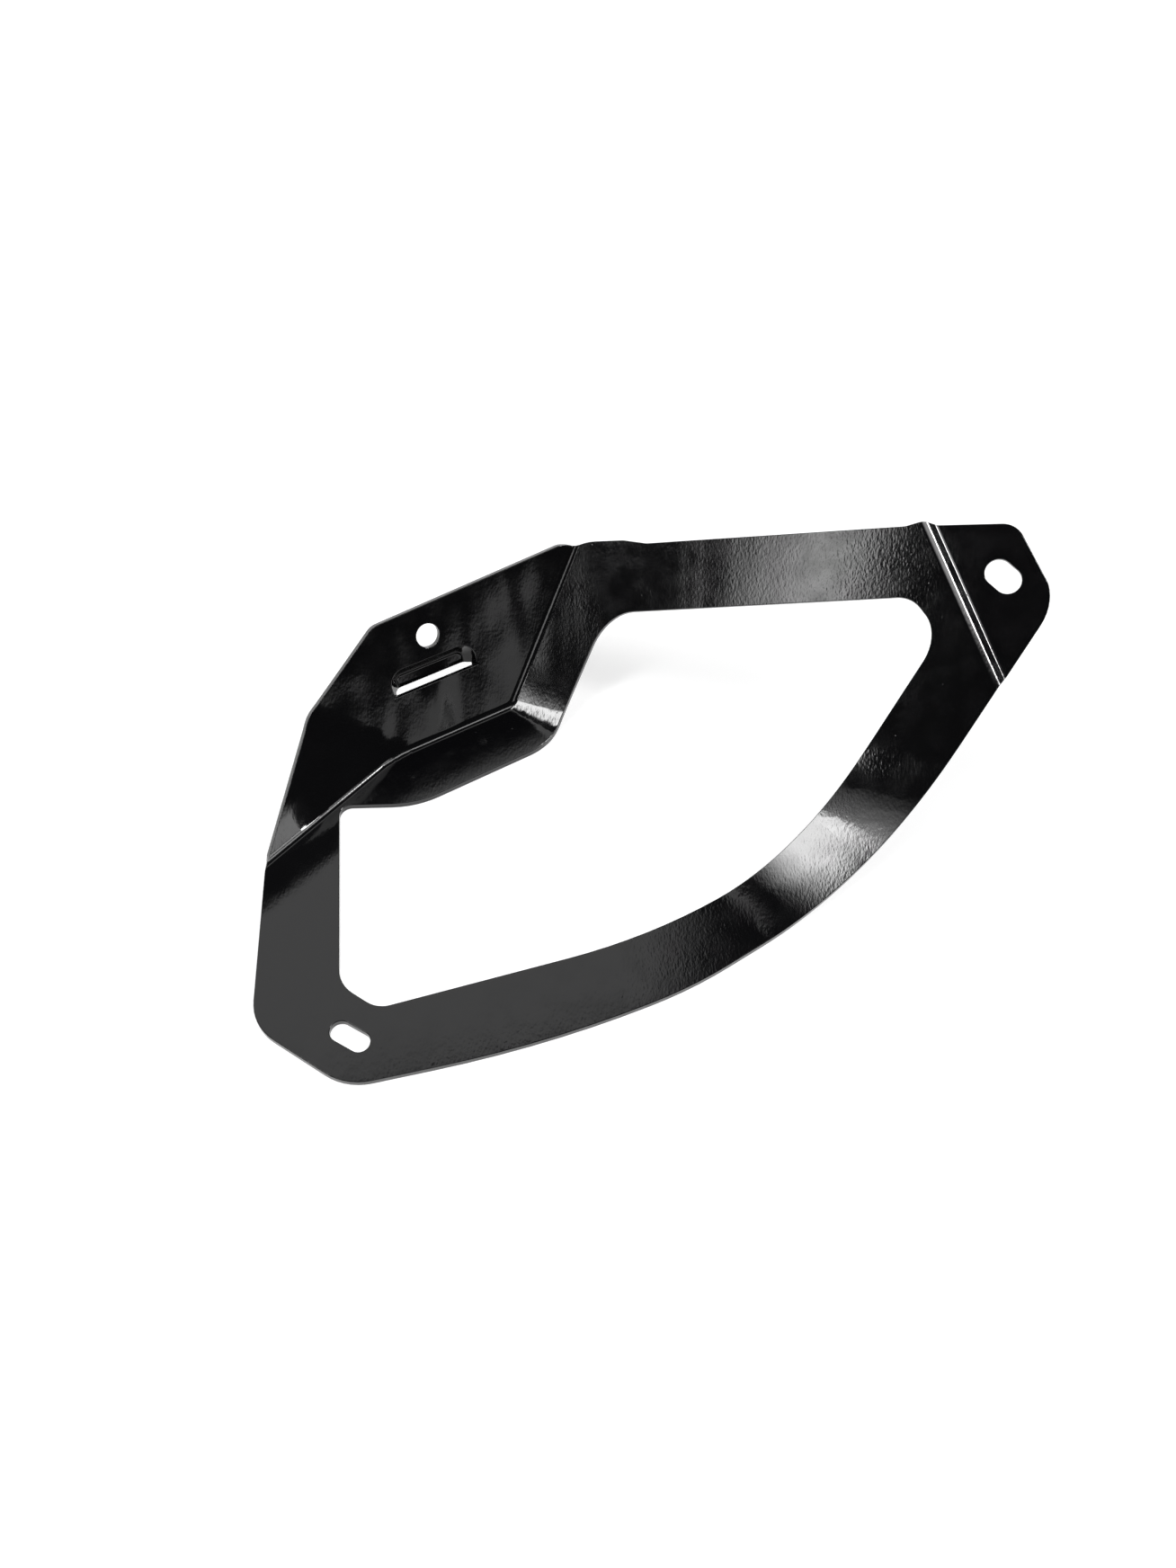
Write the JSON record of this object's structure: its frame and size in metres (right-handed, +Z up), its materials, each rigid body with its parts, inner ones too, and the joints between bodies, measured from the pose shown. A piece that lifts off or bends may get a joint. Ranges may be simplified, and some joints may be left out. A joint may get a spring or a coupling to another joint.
{
  "type": "fender bracket",
  "caption": "Open ring bracket pressed from steel sheet and folded into a shallow bowl, with a bolt hole, slots and a louvred side panel.",
  "frame": {"origin": "centre of the foot slot on the underside of the flat seat", "axes": "+Z up, square to the flat seat on which the bracket rests; +X towards the tip, +Y towards the standing panel"},
  "size_m": [0.2089, 0.1541, 0.068],
  "materials": {
    "black_enamel": "gloss"
  },
  "bodies": {
    "root": {"fender_bracket": "black_enamel"}
  },
  "joints": []
}
